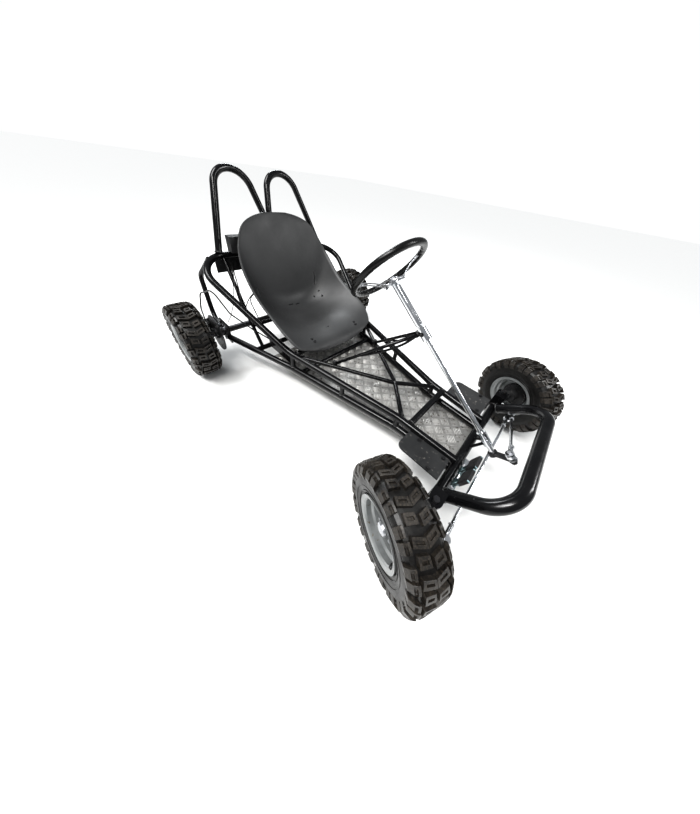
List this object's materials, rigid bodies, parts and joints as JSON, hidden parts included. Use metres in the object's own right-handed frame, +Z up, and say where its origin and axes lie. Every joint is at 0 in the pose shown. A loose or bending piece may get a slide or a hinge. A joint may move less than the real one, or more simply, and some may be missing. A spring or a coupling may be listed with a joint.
{
  "type": "off-road go-kart",
  "caption": "Off-road go-kart with a bent tube chassis, shell seat, direct steering, knobbly tyres, a chain-driven live rear axle and two foot pedals.",
  "frame": {"origin": "on the ground under the middle of the kart's box", "axes": "+X forward, +Y to the driver's left, +Z up"},
  "size_m": [1.5666, 1.119, 0.8004],
  "materials": {
    "black_tube": "gloss",
    "bumper_black": "gloss",
    "satin_black": "satin",
    "checker_aluminium": "satin",
    "seat_plastic": "satin",
    "guard_plastic": "matte",
    "zinc_steel": "satin",
    "chrome_bar": "polished",
    "spoke_aluminium": "brushed",
    "grip_rubber": "matte",
    "tyre_rubber": "dusty",
    "rim_silver": "satin",
    "hub_dark": "satin",
    "nut_black": "satin",
    "disc_steel": "brushed",
    "cable_sheath": "satin",
    "battery_plastic": "matte",
    "pedal_steel": "satin"
  },
  "bodies": {
    "chassis": {"main_frame": "black_tube", "lower_rails": "black_tube", "frame_uprights": "black_tube", "frame_crossbars": "black_tube", "x_brace": "black_tube", "column_support": "black_tube", "floor_plate": "checker_aluminium", "rear_hoops": "black_tube", "rear_drop_tubes": "black_tube", "rear_panel": "satin_black", "front_bumper": "bumper_black", "front_axle_beam": "black_tube", "kingpins": "zinc_steel", "seat_struts": "black_tube", "seat_shell": "seat_plastic", "seat_screws": "zinc_steel", "foot_guards": "guard_plastic", "column_bushes": "zinc_steel", "axle_bearings": "zinc_steel", "brake_caliper": "satin_black", "brake_cable": "cable_sheath", "throttle_cable": "cable_sheath", "motor": "satin_black", "motor_bracket": "satin_black", "drive_chain": "zinc_steel", "battery_box": "battery_plastic", "battery_lid": "battery_plastic", "power_switch_box": "battery_plastic", "pedal_bracket": "zinc_steel", "pedal_pivot": "chrome_bar", "pedal_springs": "zinc_steel"},
    "steering": {"steering_column": "chrome_bar", "steering_wheel_ring": "grip_rubber", "steering_wheel_spokes": "spoke_aluminium", "spoke_screws": "zinc_steel", "pitman_arm": "satin_black"},
    "left_steering_knuckle": {"left_knuckle": "satin_black"},
    "right_steering_knuckle": {"right_knuckle": "satin_black"},
    "tie_rod_body": {"tie_rod": "chrome_bar"},
    "drag_link_body": {"drag_link": "chrome_bar"},
    "front_left_wheel": {"front_left_tyre": "tyre_rubber", "front_left_rim": "rim_silver", "front_left_hub": "hub_dark", "front_left_nuts": "nut_black"},
    "front_right_wheel": {"front_right_tyre": "tyre_rubber", "front_right_rim": "rim_silver", "front_right_hub": "hub_dark", "front_right_nuts": "nut_black"},
    "rear_axle_set": {"rear_axle": "zinc_steel", "rear_hubs": "hub_dark", "rear_left_tyre": "tyre_rubber", "rear_left_rim": "rim_silver", "rear_right_tyre": "tyre_rubber", "rear_right_rim": "rim_silver", "rear_wheel_nuts": "nut_black", "brake_disc": "disc_steel", "axle_sprocket": "zinc_steel"},
    "motor_shaft": {"motor_sprocket": "zinc_steel"},
    "brake_pedal_body": {"brake_pedal": "pedal_steel"},
    "throttle_pedal_body": {"throttle_pedal": "pedal_steel"}
  },
  "joints": [
    {"name": "steering_turn", "type": "hinge", "parent": "chassis", "child": "steering", "pos_m": [0.6382, 0, 0.18], "axis": [-0.8049, 0, 0.5934], "range_deg": [-4, 52]},
    {"name": "left_kingpin", "type": "hinge", "parent": "chassis", "child": "left_steering_knuckle", "pos_m": [0.5662, 0.3, 0.1675], "axis": [0, 0, 1], "range_deg": [-4, 52]},
    {"name": "right_kingpin", "type": "hinge", "parent": "chassis", "child": "right_steering_knuckle", "pos_m": [0.5662, -0.3, 0.1675], "axis": [0, 0, 1], "range_deg": [-4, 52]},
    {"name": "tie_rod_joint", "type": "hinge", "parent": "right_steering_knuckle", "child": "tie_rod_body", "pos_m": [0.63746, -0.33172, 0.132], "axis": [0, 0, 1], "range_deg": [-52, 4]},
    {"name": "drag_link_joint", "type": "hinge", "parent": "left_steering_knuckle", "child": "drag_link_body", "pos_m": [0.63746, 0.26827, 0.166], "axis": [0, 0, 1], "range_deg": [-52, 4]},
    {"name": "front_left_spin", "type": "hinge", "parent": "left_steering_knuckle", "child": "front_left_wheel", "pos_m": [0.61542, 0.41054, 0.1675], "axis": [0.4067, 0.9135, 0], "continuous": true},
    {"name": "front_right_spin", "type": "hinge", "parent": "right_steering_knuckle", "child": "front_right_wheel", "pos_m": [0.51699, -0.41054, 0.1675], "axis": [0.4067, 0.9135, 0], "continuous": true},
    {"name": "rear_axle_spin", "type": "hinge", "parent": "chassis", "child": "rear_axle_set", "pos_m": [-0.5778, 0, 0.1675], "axis": [0, 1, 0], "continuous": true},
    {"name": "motor_spin", "type": "hinge", "parent": "chassis", "child": "motor_shaft", "pos_m": [-0.6998, 0, 0.192], "axis": [0, 1, 0], "continuous": true},
    {"name": "brake_pedal_press", "type": "hinge", "parent": "chassis", "child": "brake_pedal_body", "pos_m": [0.5922, -0.097, 0.116], "axis": [0, 1, 0], "range_deg": [0, 18], "stiffness_Nm_per_rad": 6, "springref_deg": -8.59},
    {"name": "throttle_pedal_press", "type": "hinge", "parent": "chassis", "child": "throttle_pedal_body", "pos_m": [0.5922, -0.157, 0.116], "axis": [0, 1, 0], "range_deg": [0, 20], "stiffness_Nm_per_rad": 3, "springref_deg": -8.59}
  ],
  "couplings": [
    {"joint": "left_kingpin", "follows": "steering_turn", "ratio": 1},
    {"joint": "right_kingpin", "follows": "steering_turn", "ratio": 1},
    {"joint": "tie_rod_joint", "follows": "steering_turn", "ratio": -1},
    {"joint": "drag_link_joint", "follows": "steering_turn", "ratio": -1},
    {"joint": "motor_spin", "follows": "rear_axle_spin", "ratio": 4}
  ]
}
